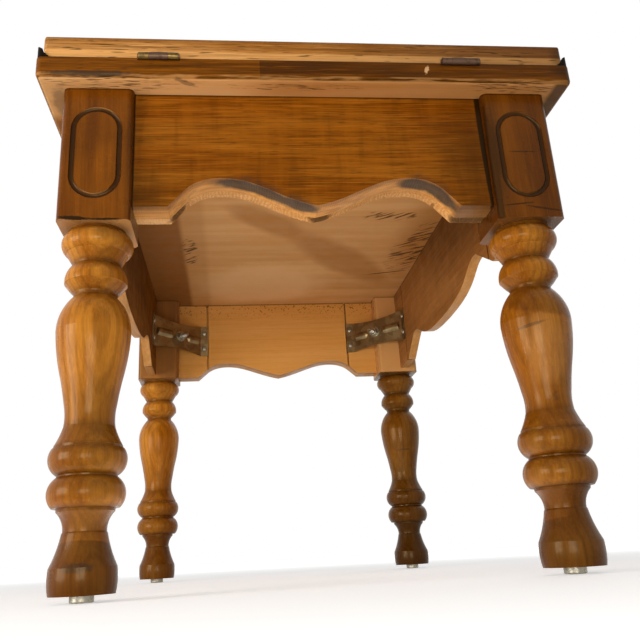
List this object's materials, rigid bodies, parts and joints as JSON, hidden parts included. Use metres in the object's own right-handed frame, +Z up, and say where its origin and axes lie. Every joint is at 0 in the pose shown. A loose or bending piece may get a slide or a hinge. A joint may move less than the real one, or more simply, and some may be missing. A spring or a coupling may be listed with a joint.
{
  "type": "flip-top butler tray table",
  "caption": "Low wooden tray table on turned legs with scalloped aprons, and a hinged leaf folded flat on its top.",
  "frame": {"origin": "on the floor, midway between the four leg axes", "axes": "+Z up, +Y along the table away from the hinged end, +X to the right seen from the hinged end"},
  "size_m": [0.5274, 0.725, 0.5083],
  "materials": {
    "top_wood": "satin varnish",
    "leaf_wood": "satin varnish",
    "leg_wood": "satin varnish",
    "apron_wood": "satin varnish",
    "raw_wood": "raw",
    "lip_wood": "dark stain",
    "hinge_brass": "antique",
    "bracket_steel": "zinc chromate",
    "fastener_steel": "worn"
  },
  "bodies": {
    "frame": {"fixed_top": "top_wood", "near_apron": "apron_wood", "near_apron_backing": "raw_wood", "far_apron": "apron_wood", "side_apron_left": "apron_wood", "tray_lip_left": "lip_wood", "hinge_fixed_plate_left": "hinge_brass", "hinge_pin_left": "hinge_brass", "side_apron_right": "apron_wood", "tray_lip_right": "lip_wood", "hinge_fixed_plate_right": "hinge_brass", "hinge_pin_right": "hinge_brass", "leg_near_left": "leg_wood", "glide_near_left": "fastener_steel", "corner_bracket_near_left": "bracket_steel", "hanger_bolt_near_left": "fastener_steel", "bolt_nut_near_left": "fastener_steel", "leg_near_right": "leg_wood", "glide_near_right": "fastener_steel", "corner_bracket_near_right": "bracket_steel", "hanger_bolt_near_right": "fastener_steel", "bolt_nut_near_right": "fastener_steel", "leg_far_left": "leg_wood", "glide_far_left": "fastener_steel", "corner_bracket_far_left": "bracket_steel", "hanger_bolt_far_left": "fastener_steel", "bolt_nut_far_left": "fastener_steel", "leg_far_right": "leg_wood", "glide_far_right": "fastener_steel", "corner_bracket_far_right": "bracket_steel", "hanger_bolt_far_right": "fastener_steel", "bolt_nut_far_right": "fastener_steel", "bracket_screws": "fastener_steel", "hinge_screws_fixed": "hinge_brass", "top_dowels": "raw_wood"},
    "leaf": {"flip_leaf": "leaf_wood", "hinge_moving_plate_left": "hinge_brass", "hinge_moving_plate_right": "hinge_brass", "hinge_screws_leaf": "hinge_brass"}
  },
  "joints": [
    {"name": "leaf_hinge", "type": "hinge", "parent": "frame", "child": "leaf", "pos_m": [0, -0.36175, 0.4859], "axis": [1, 0, 0], "range_deg": [0, 180]}
  ]
}
